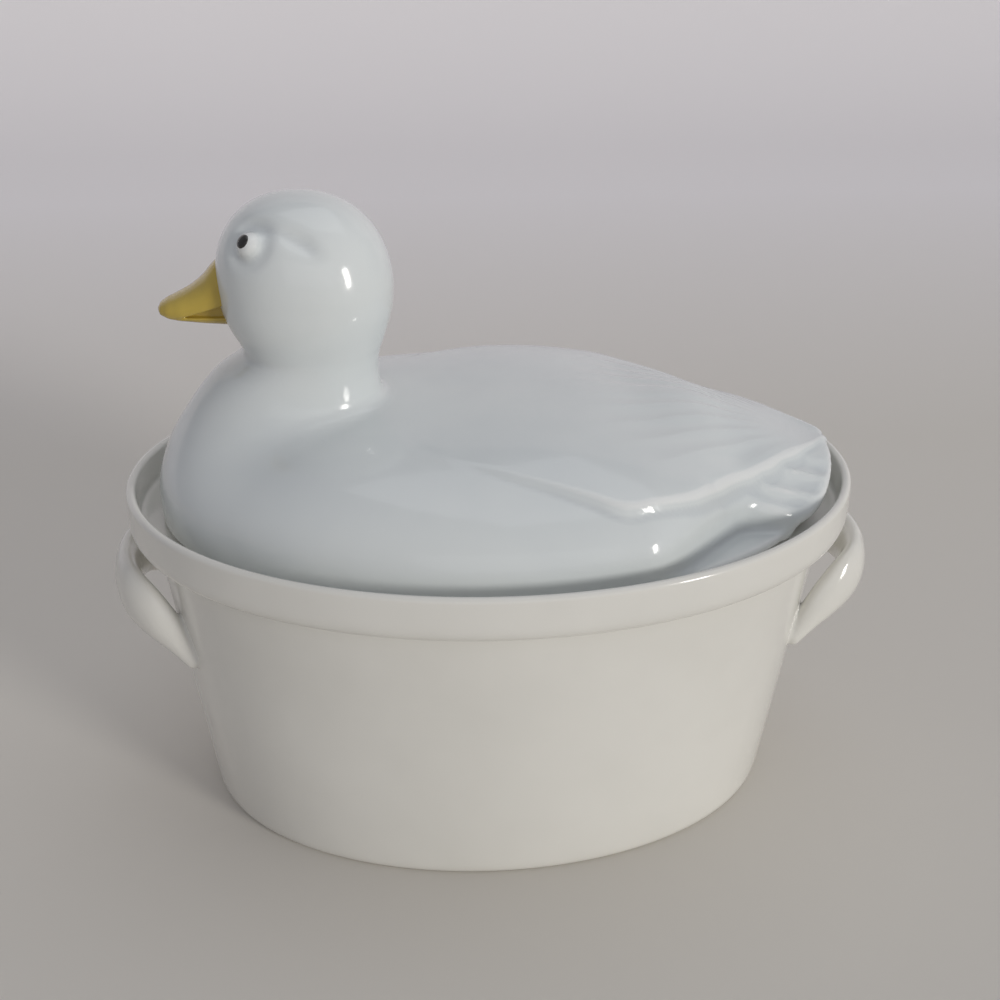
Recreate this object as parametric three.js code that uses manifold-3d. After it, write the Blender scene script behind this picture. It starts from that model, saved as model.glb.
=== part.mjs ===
// Duck-shaped casserole dish: an oval porcelain dish with two loop handles, and a lid in the
// form of a resting duck that sits on a ledge inside the dish's rim.
// Millimetres, +Z up. The origin is the middle of the dish's foot. The duck looks along -X.

import * as THREE from 'three';
import { LoftGeometry } from 'three/addons/geometries/LoftGeometry.js';
import { mergeVertices } from 'three/addons/utils/BufferGeometryUtils.js';
import Module from 'manifold-3d';

const wasm = await Module();
wasm.setup();

// Sizes of the dish
const rimHalfLength = 135;
const rimHalfWidth = 100;
const dishHeight = 132;
const collarHeight = 15.7;
const collarProud = 8.5;
const wallTaper = 16;
const wallThickness = 7.5;
const floorThickness = 8;
const lipThickness = 3.5;
const galleryDepth = 12.2;
const ledgeWidth = 14.5;
const footWidth = 7;
const footDepth = 2.5;
const heelRadius = 6;
const collarFillet = 3.5;
const ledgeBevel = 1;
const bowlCornerRadius = 16;

// Sizes of the loop handles
const gripProud = 11.5;
const gripHalfSpan = 26;
const headGripHeight = 88;
const tailGripHeight = 82;
const gripTall = 16;
const gripThick = 11.5;
const gripFootHeight = 78;
const gripFootTall = 29;
const gripFootThick = 6.5;
const gripRootDepth = 18;
const gripBowPower = 0.8;

// Sizes of the lid
const seatGap = 0.3;
const seatOverlap = 3.5;
const flangeClearance = 1.2;
const flangeThickness = 4;
const flangeDepth = 6;
const seatPlateThickness = 3.2;
const bodyBulge = 1.2;
const widestHeight = 8;
const rumpLift = 5;
const rumpUndercut = 2;
const rumpNarrowing = 0.28;
const rumpNarrowsFrom = 0.36;
const rumpNarrowsTo = 0.76;
const shellThickness = 6;
const shoulderBluntness = 4;
const flankRoundness = 2.2;
const rumpBluntness = 2.4;

// Height of the back over the lid's seat, from the breast end (-1) to the tail end (+1)
const spineRows = [
  { along: -1.0, height: 34 },
  { along: -0.5, height: 42.6 },
  { along: -0.16, height: 46.2 },
  { along: 0.0, height: 46.6 },
  { along: 0.2, height: 43.8 },
  { along: 0.41, height: 38.6 },
  { along: 0.62, height: 32.8 },
  { along: 0.8, height: 28 },
  { along: 0.96, height: 23 },
  { along: 1.08, height: 19.2 },
];

// Breast and neck: height over the seat, how far front and back of each section lie behind
// the breast's foremost point, and the section's half width
const neckRows = [
  { height: 0, front: 0.7, back: 112, side: 58 },
  { height: 8, front: 0, back: 102, side: 57 },
  { height: 14, front: 0.2, back: 95, side: 53.5 },
  { height: 19, front: 1, back: 91, side: 50 },
  { height: 24, front: 2.3, back: 87.6, side: 46 },
  { height: 29, front: 4.4, back: 85.2, side: 40.5 },
  { height: 34, front: 7.3, back: 83.2, side: 34 },
  { height: 39, front: 10.6, back: 81.8, side: 28 },
  { height: 44, front: 14, back: 81, side: 24.3 },
  { height: 49, front: 18, back: 80.4, side: 22.9 },
  { height: 54, front: 23, back: 80, side: 22.3 },
  { height: 57.5, front: 28.5, back: 80.3, side: 22.2 },
  { height: 61, front: 32.4, back: 80.9, side: 22.4 },
];

// Head, in the same terms; the rows close on the crown
const headRows = [
  { height: 61, front: 32.4, back: 80.9, side: 22.4 },
  { height: 64.5, front: 31.4, back: 82.2, side: 23.4 },
  { height: 70, front: 28.6, back: 84, side: 25.4 },
  { height: 77, front: 26, back: 85.8, side: 27.3 },
  { height: 85, front: 25, back: 86.3, side: 28.2 },
  { height: 93, front: 25.2, back: 85.6, side: 27.8 },
  { height: 100, front: 26.2, back: 82.8, side: 25.8 },
  { height: 106, front: 28.8, back: 78.4, side: 22 },
  { height: 111, front: 33.4, back: 72.8, side: 16.6 },
  { height: 114.6, front: 40.4, back: 66, side: 10 },
  { height: 116.6, front: 53.5, back: 53.5, side: 0 },
];

// Bill, from inside the face to the tip: how far each section lies behind (or, below zero,
// ahead of) the breast's foremost point, its top and underside over the seat, its half width
const billRows = [
  { back: 32, top: 97, under: 70.6, side: 10.4 },
  { back: 24.4, top: 92.9, under: 71.3, side: 10 },
  { back: 19.6, top: 87.7, under: 71.8, side: 9.2 },
  { back: 15.8, top: 84.7, under: 72.3, side: 8.4 },
  { back: 10.5, top: 81.8, under: 73, side: 7.2 },
  { back: 6.6, top: 79.8, under: 74.2, side: 5.2 },
  { back: 4.9, top: 78.4, under: 75.5, side: 3.1 },
  { back: 4.2, top: 77.1, under: 77.1, side: 0 },
];
const gapeCorner = 13;
const gapeHeight = 75.2;
const gapeRise = 3.4;
const gapeWidth = 3;
const gapeDepth = 3.2;
const billFullness = 2.35;

// Eyes: direction from the head's middle, bead and raised pupil
const headMiddle = 55.5;
const headMiddleHeight = 86;
const headHalfLength = 30.8;
const headHalfWidth = 28.3;
const headHalfHeight = 30.7;
const eyeTurn = 46;
const eyeLift = 35.5;
const eyeSeat = 29.2;
const eyeRadius = 4.4;
const pupilTurn = 36;
const pupilLift = 36;
const pupilRadius = 2.5;
const pupilProud = 0.7;

// Brow groove over each eye
const browPath = [
  { turn: 50, lift: 48, depth: -1 },
  { turn: 72, lift: 46, depth: 0.6 },
  { turn: 92, lift: 40, depth: 1.1 },
  { turn: 104, lift: 33, depth: -0.6 },
];
const browRadius = 7;

// Folded wings: half width of the pair as a share of the body's, and the step at their edge
const wingRows = [
  { along: -0.3, side: 0.369, step: 0 },
  { along: -0.14, side: 0.565, step: 0.4 },
  { along: -0.02, side: 0.686, step: 1.2 },
  { along: 0.1, side: 0.773, step: 1.8 },
  { along: 0.23, side: 0.83, step: 2.2 },
  { along: 0.32, side: 0.848, step: 2.3 },
  { along: 0.4, side: 0.807, step: 2.3 },
  { along: 0.53, side: 0.646, step: 2.2 },
  { along: 0.75, side: 0.358, step: 2.1 },
  { along: 0.9, side: 0.196, step: 1.8 },
  { along: 1.04, side: 0.035, step: 1.2 },
];
const wingSink = 3.5;
const wingUnderShare = 0.97;
const featherGrooves = 5;
const featherPitch = 8.6;
const featherAngle = 35;
const featherRadius = 9;
const featherDepth = 0.7;
const featherStart = 0.3;
const featherSetback = 16;

// Tail fan, and the slope of the rump that runs down to it
const tailOverhang = 5.3;
const tailHalfWidth = 46;
const tailReach = 28;
const tailRoot = 44;
const tailRootSpread = 1.03;
const tailSpread = 82;
const tailDroop = 18.5;
const tailDroopPower = 2.5;
const tailThickness = 5;
const tailFeathers = 11;
const tailRidge = 1.3;
const tailDroopLimit = 1.15;
const slopeFrom = 42;
const slopeTo = 92;
const slopeLift = 60;
const slopeSink = 1.5;

// Values that follow from the sizes
const seatHeight = dishHeight - galleryDepth + seatGap;
const ledgeHeight = dishHeight - galleryDepth;
const rimSpread = rimHalfLength - rimHalfWidth;
const collarInner = rimHalfLength - lipThickness;
const openingHalfLength = collarInner - ledgeWidth;
const collarBottom = dishHeight - collarHeight;
const wallTop = rimHalfLength - collarProud;
const wallSlope = wallTaper / collarBottom;
const footHalfLength = wallTop - wallTaper;
const seatHalfLength = openingHalfLength + seatOverlap;
const bodyHalfLength = seatHalfLength + bodyBulge;
const bodyHalfWidth = bodyHalfLength - rimSpread;
const flangeOuter = openingHalfLength - flangeClearance;
const flangeInner = flangeOuter - flangeThickness;
const breastTip = -bodyHalfLength;
const tailTip = bodyHalfLength + tailOverhang;
const gripHalfLength = rimHalfLength + gripProud;
const ovalSteps = 56;

// Tools for shapes

function solidOf(geometry) {
  const bare = new THREE.BufferGeometry();
  bare.setAttribute('position', geometry.attributes.position);
  bare.setIndex(geometry.index);
  const merged = mergeVertices(bare, 1e-4);
  const index = merged.index.array;
  const corners = [];
  for (let i = 0; i < index.length; i += 3) {
    const [a, b, c] = [index[i], index[i + 1], index[i + 2]];
    if (a !== b && b !== c && c !== a) corners.push(a, b, c);
  }
  const mesh = new wasm.Mesh({
    numProp: 3,
    vertProperties: Float32Array.from(merged.attributes.position.array),
    triVerts: Uint32Array.from(corners),
  });
  return new wasm.Manifold(mesh);
}

function facesAlong(section, direction) {
  const normal = new THREE.Vector3();
  const origin = section[0];
  for (let i = 1; i < section.length - 1; i += 1) {
    const edge = section[i].clone().sub(origin);
    normal.add(edge.cross(section[i + 1].clone().sub(origin)));
  }
  return normal.dot(direction) > 0;
}

function middleOf(section) {
  const sum = section.reduce((total, corner) => total.add(corner), new THREE.Vector3());
  return sum.divideScalar(section.length);
}

// A closed loft: sections are turned to face along the loft, so that its surface faces out
function loft(sections, caps) {
  const k = Math.floor(sections.length / 2);
  const direction = middleOf(sections[k]).sub(middleOf(sections[k - 1]));
  const turned = facesAlong(sections[k], direction)
    ? sections
    : sections.map((section) => [...section].reverse());
  return solidOf(new LoftGeometry(turned, caps));
}

const bothCaps = { capStart: true, capEnd: true };
const startCap = { capStart: true };

function geometryOf(solid) {
  const mesh = solid.getMesh();
  const geometry = new THREE.BufferGeometry();
  geometry.setAttribute('position', new THREE.BufferAttribute(mesh.vertProperties, 3));
  geometry.setIndex(new THREE.BufferAttribute(mesh.triVerts, 1));
  geometry.computeVertexNormals();
  return geometry;
}

function namedMesh(name, solid, color, roughness) {
  const material = new THREE.MeshStandardMaterial({ color, roughness, metalness: 0 });
  const mesh = new THREE.Mesh(geometryOf(solid), material);
  mesh.name = name;
  return mesh;
}

function smoothRows(rows, key) {
  const fields = Object.keys(rows[0]).filter((field) => field !== key);
  const places = rows.map((row) => row[key]);
  const values = rows.flatMap((row) => fields.map((field) => row[field]));
  const curve = new THREE.CubicInterpolant(places, values, fields.length);
  return (place) => {
    const result = curve.evaluate(place);
    return Object.fromEntries(fields.map((field, i) => [field, result[i]]));
  };
}

function power(value, exponent) {
  return Math.sign(value) * Math.abs(value) ** exponent;
}

function ringOf(steps, cornerAt) {
  return Array.from({ length: steps }, (_, i) => cornerAt((i / steps) * 2 * Math.PI));
}

function oval(halfLength, height) {
  const halfWidth = halfLength - rimSpread;
  return ringOf(ovalSteps, (angle) => (
    new THREE.Vector3(halfLength * Math.cos(angle), halfWidth * Math.sin(angle), height)
  ));
}

function egg(front, back, side, height, steps, fullness = 2.15) {
  const middle = (front + back) / 2;
  const half = (back - front) / 2;
  return ringOf(steps, (angle) => {
    const x = middle + half * power(Math.cos(angle), 2 / fullness);
    const y = side * power(Math.sin(angle), 2 / fullness);
    return new THREE.Vector3(x, y, height);
  });
}

function ovalPrism(halfLength, low, high) {
  const sections = [oval(halfLength, low), oval(halfLength, high)];
  return loft(sections, bothCaps);
}

// The dish

function dishOutline() {
  const path = new THREE.Path();
  const foot = footHalfLength;
  const footInner = foot - heelRadius / 2 - footWidth;
  const lip = lipThickness / 2;
  const bandBottom = collarBottom + collarFillet;
  const innerFoot = foot - wallThickness + wallSlope * floorThickness;
  path.moveTo(0, footDepth);
  path.lineTo(footInner - footDepth, footDepth);
  path.lineTo(footInner, 0);
  path.lineTo(foot - heelRadius / 2, 0);
  path.quadraticCurveTo(foot, 0, foot + wallSlope * heelRadius, heelRadius);
  path.lineTo(wallTop - wallSlope * collarFillet, collarBottom - collarFillet);
  path.quadraticCurveTo(wallTop, collarBottom, wallTop + collarFillet, collarBottom + collarFillet / 4);
  path.quadraticCurveTo(rimHalfLength, collarBottom + collarFillet / 2, rimHalfLength, bandBottom);
  path.lineTo(rimHalfLength, dishHeight - lip);
  path.absarc(rimHalfLength - lip, dishHeight - lip, lip, 0, Math.PI, false);
  path.lineTo(collarInner, ledgeHeight + collarFillet);
  path.quadraticCurveTo(collarInner, ledgeHeight, collarInner - collarFillet, ledgeHeight);
  path.lineTo(openingHalfLength + ledgeBevel, ledgeHeight);
  path.lineTo(openingHalfLength, ledgeHeight - ledgeBevel);
  path.lineTo(innerFoot + wallSlope * bowlCornerRadius, floorThickness + bowlCornerRadius);
  path.quadraticCurveTo(innerFoot, floorThickness, innerFoot - bowlCornerRadius, floorThickness);
  path.lineTo(0, floorThickness);
  return path.getPoints(2);
}

function dishSolid() {
  const sections = dishOutline().map((point) => {
    if (point.x > 0) return oval(point.x, point.y);
    return oval(rimSpread, point.y).map((corner) => new THREE.Vector3(0, 0, corner.z));
  });
  return solidOf(new LoftGeometry(sections));
}

function dishEnvelope(clearance) {
  const sections = [
    oval(footHalfLength + clearance, 0),
    oval(wallTop + clearance, collarBottom),
    oval(rimHalfLength + clearance, collarBottom + 1),
    oval(rimHalfLength + clearance, dishHeight),
  ];
  return loft(sections, bothCaps);
}

// A loop handle: a half-round bow in plan, tall at its feet and slimmer round the bow

function gripSolid(end, gripHeight) {
  const turns = 20;
  const around = 12;
  const bowX = gripHalfLength - gripThick / 2;
  const rootX = footHalfLength + wallSlope * gripFootHeight - gripRootDepth;
  const sections = [];
  for (let i = 0; i <= turns; i += 1) {
    const angle = (i / turns) * Math.PI;
    const bow = Math.sin(angle) ** gripBowPower;
    const swell = THREE.MathUtils.smoothstep(bow, 0.25, 1);
    const tall = THREE.MathUtils.lerp(gripFootTall, gripTall, swell) / 2;
    const thick = THREE.MathUtils.lerp(gripFootThick, gripThick, swell) / 2;
    const height = THREE.MathUtils.lerp(gripFootHeight, gripHeight, swell);
    const middle = new THREE.Vector2(rootX + (bowX - rootX) * bow, -gripHalfSpan * Math.cos(angle));
    const outward = new THREE.Vector2(Math.sin(angle), -Math.cos(angle) * 0.9).normalize();
    sections.push(ringOf(around, (turn) => {
      const out = thick * Math.cos(turn);
      const x = middle.x + outward.x * out;
      const y = middle.y + outward.y * out;
      return new THREE.Vector3(end * x, y, height + tall * Math.sin(turn));
    }));
  }
  const bow = loft(sections, bothCaps);
  return bow.subtract(dishEnvelope(seatGap));
}

// The lid's body: a dome over the seat, blunt at the shoulders and the rump

const spineAt = smoothRows(spineRows, 'along');

function spineHeight(x) {
  return seatHeight + spineAt(x / bodyHalfLength).height;
}

function bluntness(cosine) {
  const rump = Math.max(0, cosine) ** 4;
  const shoulder = Math.min(0, cosine) ** 2;
  return flankRoundness + (rumpBluntness - flankRoundness) * rump
    + (shoulderBluntness - flankRoundness) * shoulder;
}

function widestLevel(cosine) {
  return seatHeight + widestHeight + rumpLift * THREE.MathUtils.smoothstep(cosine, 0, 0.65);
}

function undercut(cosine) {
  return rumpUndercut * THREE.MathUtils.smoothstep(cosine, 0.25, 0.9);
}

// The body's share of its full width, less towards the rump
function narrowing(x) {
  return 1 - rumpNarrowing * THREE.MathUtils.smoothstep(x / bodyHalfLength, rumpNarrowsFrom, rumpNarrowsTo);
}

function tailHeight(x, y) {
  const share = Math.min(tailDroopLimit, Math.abs(y) / tailHalfWidth);
  return spineHeight(x) - tailDroop * share ** tailDroopPower;
}

// The slope that takes the rump down to the tail; it lies well above the back further forward
function slopeHeight(x, y) {
  const ahead = THREE.MathUtils.clamp((slopeTo - x) / (slopeTo - slopeFrom), 0, 1);
  return tailHeight(x, y) + slopeLift * ahead ** 2 - slopeSink;
}

function domeHeight(x, y) {
  const u = x / bodyHalfLength;
  const reach = Math.hypot(u, y / (bodyHalfWidth * narrowing(x)));
  if (reach >= 1) return -Infinity;
  const cosine = reach > 0 ? u / reach : 0;
  const exponent = bluntness(cosine);
  const level = widestLevel(cosine);
  const dome = level + (spineHeight(x) - level) * (1 - reach ** exponent) ** (1 / exponent);
  return Math.min(dome, slopeHeight(x, y));
}

function domeRing(half, reach, angle, height) {
  const x = half * reach * Math.cos(angle);
  const y = (half - rimSpread) * narrowing(x) * reach * Math.sin(angle);
  return new THREE.Vector3(x, y, height(x, y, Math.cos(angle)));
}

// Rings that climb from the widest line to the spine
function climbingRings(steps, rings, half, height) {
  return Array.from({ length: rings }, (_, i) => {
    const climb = ((i + 1) / rings) * (Math.PI / 2);
    return ringOf(steps, (angle) => {
      const exponent = bluntness(Math.cos(angle));
      const reach = i + 1 < rings ? Math.cos(climb) ** (2 / exponent) : 0;
      const share = Math.sin(climb) ** (2 / exponent);
      return domeRing(half, reach, angle, (x, y, cosine) => height(x, y, cosine, share));
    });
  });
}

function domeSolid(steps = 56, rings = 12) {
  const plateTop = seatHeight + seatPlateThickness;
  const widest = (x, y, cosine) => Math.min(widestLevel(cosine), slopeHeight(x, y));
  const flankRing = (inset, height) => ringOf(steps, (angle) => {
    const half = bodyHalfLength - (bodyBulge + undercut(Math.cos(angle))) * inset;
    return domeRing(half, 1, angle, height);
  });
  const sections = [
    flankRing(1, () => seatHeight + seatPlateThickness / 2),
    flankRing(0.8, (x, y, cosine) => THREE.MathUtils.lerp(plateTop, widest(x, y, cosine), 0.2)),
    flankRing(0.3, (x, y, cosine) => THREE.MathUtils.lerp(plateTop, widest(x, y, cosine), 0.7)),
    flankRing(0, widest),
    ...climbingRings(steps, rings, bodyHalfLength, (x, y, cosine, share) => {
      const dome = THREE.MathUtils.lerp(widestLevel(cosine), spineHeight(x), share);
      return Math.min(dome, slopeHeight(x, y));
    }),
  ];
  const plate = ovalPrism(seatHalfLength, seatHeight, plateTop);
  return loft(sections, startCap).add(plate);
}

function domeHollow(steps = 36, rings = 7) {
  const base = seatHeight - 1;
  const bottom = base - flangeDepth - 2;
  const mouthRing = (level) => ringOf(steps, (angle) => domeRing(flangeInner, 1, angle, () => level));
  const sections = [
    mouthRing(bottom),
    mouthRing(base),
    ...climbingRings(steps, rings, flangeInner, (x, y, cosine, share) => {
      const dome = THREE.MathUtils.lerp(base, spineHeight(x) - shellThickness, share);
      return Math.min(dome, slopeHeight(x, y) - shellThickness);
    }),
  ];
  return loft(sections, startCap);
}

// Breast, neck and head: sections stacked upwards between a front and a back line

function stackedSections(rows, inset, perRow, steps) {
  const places = rows.map((row, i) => ({ place: i, ...row }));
  const at = smoothRows(places, 'place');
  const sections = [];
  const count = (rows.length - 1) * perRow;
  for (let i = 0; i <= count; i += 1) {
    const row = at(i / perRow);
    const level = row.height / neckRows.at(-1).height;
    const thickness = inset(Math.min(1, level));
    const front = breastTip + row.front + thickness;
    const back = Math.max(front, breastTip + row.back - thickness);
    const side = Math.max(0, row.side - thickness);
    sections.push(egg(front, back, side, seatHeight + row.height, steps));
  }
  return sections;
}

function neckSolid() {
  const sections = stackedSections(neckRows, () => 0, 1, 32);
  return loft(sections, bothCaps);
}

function neckHollow() {
  const seatInset = bodyHalfLength - flangeInner;
  const inset = (level) => THREE.MathUtils.lerp(seatInset, shellThickness, level);
  const rows = [...neckRows, { ...neckRows.at(-1), height: neckRows.at(-1).height + 2 }];
  const sections = stackedSections(rows, inset, 1, 20);
  return loft(sections, bothCaps);
}

// Wings: one thin plate across the back whose lower edges stand proud of the flanks

const wingAt = smoothRows(wingRows, 'along');

function wingSide(along) {
  return wingAt(along).side * bodyHalfWidth;
}

function backHeight(x, y) {
  return Math.max(domeHeight(x, y), x > bodyHalfLength - tailRoot ? tailHeight(x, y) : -Infinity);
}

function wingHeight(x, y) {
  const along = x / bodyHalfLength;
  return backHeight(x, y) + wingAt(along).step * Math.min(1, Math.abs(y) / wingSide(along)) ** 3;
}

function wingSolid() {
  const across = 14;
  const along = 24;
  const first = wingRows[0].along;
  const last = wingRows.at(-1).along;
  const sections = [];
  for (let i = 0; i <= along; i += 1) {
    const place = first + ((last - first) * i) / along;
    const x = place * bodyHalfLength;
    const section = [];
    for (let k = 0; k <= across; k += 1) {
      const y = wingSide(place) * Math.sin((k / across - 0.5) * Math.PI);
      section.push(new THREE.Vector3(x, y, wingHeight(x, y)));
    }
    for (let k = 3; k >= 1; k -= 1) {
      const y = wingSide(place) * (k / 2 - 1) * wingUnderShare;
      section.push(new THREE.Vector3(x, y, backHeight(x, y) - wingSink));
    }
    sections.push(section);
  }
  return loft(sections, bothCaps);
}

function featherGroove(number, side) {
  const steps = 6;
  const around = 8;
  const angle = THREE.MathUtils.degToRad(featherAngle);
  const start = new THREE.Vector2(featherStart * bodyHalfLength, 0);
  const across = new THREE.Vector2(-Math.sin(angle), Math.cos(angle));
  const forward = new THREE.Vector2(Math.cos(angle), Math.sin(angle));
  const corner = new THREE.Vector2(start.x, -wingSide(featherStart));
  const line = corner.clone().addScaledVector(across, featherPitch * (number + 0.75));
  const reachToSpine = (-2 - line.y) / forward.y;
  const first = featherSetback - number * 2;
  const last = Math.min(reachToSpine, tailTip / 2 + featherSetback);
  const sections = [];
  for (let i = 0; i <= steps; i += 1) {
    const share = i / steps;
    const point = line.clone().addScaledVector(forward, THREE.MathUtils.lerp(first, last, share));
    const depth = featherDepth * Math.sin(Math.PI * share) ** 0.5 - 0.1;
    const height = wingHeight(point.x, point.y) + featherRadius - depth;
    sections.push(ringOf(around, (turn) => {
      const out = featherRadius * Math.cos(turn);
      const x = point.x + across.x * out;
      const y = side * (point.y + across.y * out);
      return new THREE.Vector3(x, y, height + featherRadius * Math.sin(turn));
    }));
  }
  return loft(sections, bothCaps);
}

// Tail fan: feathers side by side, each a strip from under the wings to the trailing edge

function tailSolid() {
  const perFeather = 4;
  const count = tailFeathers * perFeather;
  const fanMiddle = tailTip - tailReach;
  const rootX = bodyHalfLength - tailRoot;
  const sections = [];
  for (let i = 0; i <= count; i += 1) {
    const share = (2 * i) / count - 1;
    const angle = THREE.MathUtils.degToRad(tailSpread * share);
    const side = tailHalfWidth * Math.sin(angle);
    const edge = new THREE.Vector2(fanMiddle + tailReach * Math.cos(angle), side);
    const root = new THREE.Vector2(rootX, side * tailRootSpread);
    const ridge = -tailRidge * Math.sin((Math.PI * i) / perFeather) ** 2;
    const thickness = tailThickness * (1 - 0.7 * share ** 6);
    const pointAt = (along, drop) => {
      const plan = root.clone().lerp(edge, along);
      const rise = ridge * THREE.MathUtils.smoothstep(along, 0.1, 0.6);
      return new THREE.Vector3(plan.x, plan.y, tailHeight(plan.x, plan.y) + rise - drop);
    };
    sections.push([
      pointAt(0, thickness * 2),
      pointAt(0.5, thickness * 1.8),
      pointAt(0.8, thickness * 1.2),
      pointAt(0.985, thickness * 0.8),
      pointAt(1, thickness * 0.4),
      pointAt(0.985, 0.2),
      pointAt(0.8, 0),
      pointAt(0.5, 0),
      pointAt(0, 1),
    ]);
  }
  return loft(sections, bothCaps);
}

function lidSolid() {
  const flange = ovalPrism(flangeOuter, seatHeight - flangeDepth, seatHeight + 1);
  let lid = domeSolid().add(neckSolid()).add(tailSolid()).add(wingSolid()).add(flange);
  for (let number = 0; number < featherGrooves; number += 1) {
    lid = lid.subtract(featherGroove(number, 1)).subtract(featherGroove(number, -1));
  }
  return lid.subtract(domeHollow()).subtract(neckHollow());
}

// The head, with the bill and the eyes set against its face

function headForm(clearance, perRow = 2, steps = 30) {
  const sections = stackedSections(headRows, () => -clearance, perRow, steps);
  return loft(sections, clearance > 0 ? bothCaps : startCap);
}

function headPoint(turn, lift, distance) {
  const around = THREE.MathUtils.degToRad(turn);
  const up = THREE.MathUtils.degToRad(lift);
  return new THREE.Vector3(
    breastTip + headMiddle - distance * Math.cos(up) * Math.cos(around),
    -distance * Math.cos(up) * Math.sin(around),
    seatHeight + headMiddleHeight + distance * Math.sin(up),
  );
}

function headReach(turn, lift) {
  const outward = headPoint(turn, lift, 1).sub(headPoint(0, 0, 0));
  const scaled = new THREE.Vector3(
    outward.x / headHalfLength,
    outward.y / headHalfWidth,
    outward.z / headHalfHeight,
  );
  return 1 / scaled.length();
}

function browGroove(side) {
  const around = 14;
  const perRow = 2;
  const at = smoothRows(browPath.map((row, i) => ({ place: i, ...row })), 'place');
  const places = Array.from({ length: (browPath.length - 1) * perRow + 1 }, (_, i) => at(i / perRow));
  const line = places.map(({ turn, lift, depth }) => {
    const distance = headReach(turn, lift) + browRadius - depth;
    return headPoint(side * turn, lift, distance);
  });
  const sections = line.map((middle, i) => {
    const before = line[Math.max(0, i - 1)];
    const after = line[Math.min(line.length - 1, i + 1)];
    const forward = after.clone().sub(before).normalize();
    const outward = middle.clone().sub(headPoint(0, 0, 0)).normalize();
    const across = forward.clone().cross(outward).normalize();
    const up = across.clone().cross(forward);
    return ringOf(around, (turn) => {
      const corner = middle.clone().addScaledVector(across, browRadius * Math.cos(turn));
      return corner.addScaledVector(up, browRadius * Math.sin(turn));
    });
  });
  return loft(sections, bothCaps);
}

function ball(centre, radius, detail = 20) {
  const sphere = new THREE.SphereGeometry(radius, detail, detail / 2);
  sphere.translate(centre.x, centre.y, centre.z);
  return solidOf(sphere);
}

function headSolid() {
  const inner = stackedSections(headRows.slice(0, -1), () => shellThickness, 1, 16);
  inner.unshift(inner[0].map((corner) => corner.clone().setZ(corner.z - 2)));
  const hollow = loft(inner, bothCaps);
  const seam = new THREE.BoxGeometry(200, 200, 2 * seatGap);
  seam.translate(breastTip + headMiddle, 0, seatHeight + headRows[0].height);
  const outer = headForm(0).subtract(browGroove(1)).subtract(browGroove(-1));
  return outer.subtract(hollow).subtract(solidOf(seam));
}

function billSolid() {
  const places = billRows.map((row, i) => ({ place: i, ...row }));
  const at = smoothRows(places, 'place');
  const perRow = 2;
  const around = 20;
  const sections = [];
  for (let i = 0; i <= (billRows.length - 1) * perRow; i += 1) {
    const row = at(i / perRow);
    const middle = (row.top + row.under) / 2;
    const half = Math.max(0, row.top - row.under) / 2;
    const side = Math.max(0, row.side);
    sections.push(ringOf(around, (turn) => {
      const y = side * power(Math.cos(turn), 2 / billFullness);
      const z = seatHeight + middle + half * Math.sin(turn);
      return new THREE.Vector3(breastTip + row.back, -y, z);
    }));
  }
  const bill = loft(sections, startCap);
  return bill.subtract(gapeCut(1)).subtract(gapeCut(-1)).subtract(headForm(seatGap));
}

function gapeCut(side) {
  const low = gapeHeight + seatHeight;
  const front = breastTip + gapeCorner;
  const back = breastTip + billRows[0].back;
  const shape = new THREE.Shape();
  shape.moveTo(front, low);
  shape.lineTo(back, low + 0.4);
  shape.lineTo(back, low + gapeRise + gapeWidth);
  shape.closePath();
  const wedge = new THREE.ExtrudeGeometry(shape, { depth: 20, bevelEnabled: false });
  wedge.rotateX(Math.PI / 2);
  const inner = (side > 0 ? 20 : 0) + side * (billRows[2].side - gapeDepth);
  wedge.translate(0, inner, 0);
  return solidOf(wedge);
}

function eyeSolid(side) {
  const centre = headPoint(side * eyeTurn, eyeLift, eyeSeat);
  return ball(centre, eyeRadius).subtract(headForm(seatGap));
}

function pupilSolid(side) {
  const centre = headPoint(side * eyeTurn, eyeLift, eyeSeat);
  const aim = headPoint(side * pupilTurn, pupilLift, eyeSeat).sub(headPoint(0, 0, 0));
  const spot = centre.clone().addScaledVector(aim.normalize(), eyeRadius - pupilRadius + pupilProud);
  const pupil = ball(spot, pupilRadius, 16);
  return pupil.subtract(ball(centre, eyeRadius + seatGap)).subtract(headForm(seatGap));
}

// The object, piece by piece

const dishWhite = 0xf0ede4;
const duckWhite = 0xe6ebec;
const billYellow = 0xc79a2b;
const pupilBlack = 0x141210;

const duckCasserole = new THREE.Group();
duckCasserole.add(namedMesh('dish', dishSolid(), dishWhite, 0.2));
duckCasserole.add(namedMesh('handle_head_end', gripSolid(-1, headGripHeight), dishWhite, 0.2));
duckCasserole.add(namedMesh('handle_tail_end', gripSolid(1, tailGripHeight), dishWhite, 0.2));
duckCasserole.add(namedMesh('lid', lidSolid(), duckWhite, 0.2));
duckCasserole.add(namedMesh('head', headSolid(), duckWhite, 0.2));
duckCasserole.add(namedMesh('bill', billSolid(), billYellow, 0.25));
duckCasserole.add(namedMesh('eye_left', eyeSolid(1), duckWhite, 0.15));
duckCasserole.add(namedMesh('eye_right', eyeSolid(-1), duckWhite, 0.15));
duckCasserole.add(namedMesh('pupil_left', pupilSolid(1), pupilBlack, 0.2));
duckCasserole.add(namedMesh('pupil_right', pupilSolid(-1), pupilBlack, 0.2));

export default duckCasserole;
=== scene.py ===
"""A duck-shaped casserole dish in glazed porcelain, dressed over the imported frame.

Lengths are millimetres in the frame's own axes (the duck looks along -X, +Z is up) and
are turned into metres when a mesh is made. The duck, its bill and the handles are drawn
as fields, negative inside the clay, so that their joins can be rounded like slipped and
glazed joins; the dish is turned from a profile on an oval. The stage, the lamps and the
camera are placed in metres.
"""

import math

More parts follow.
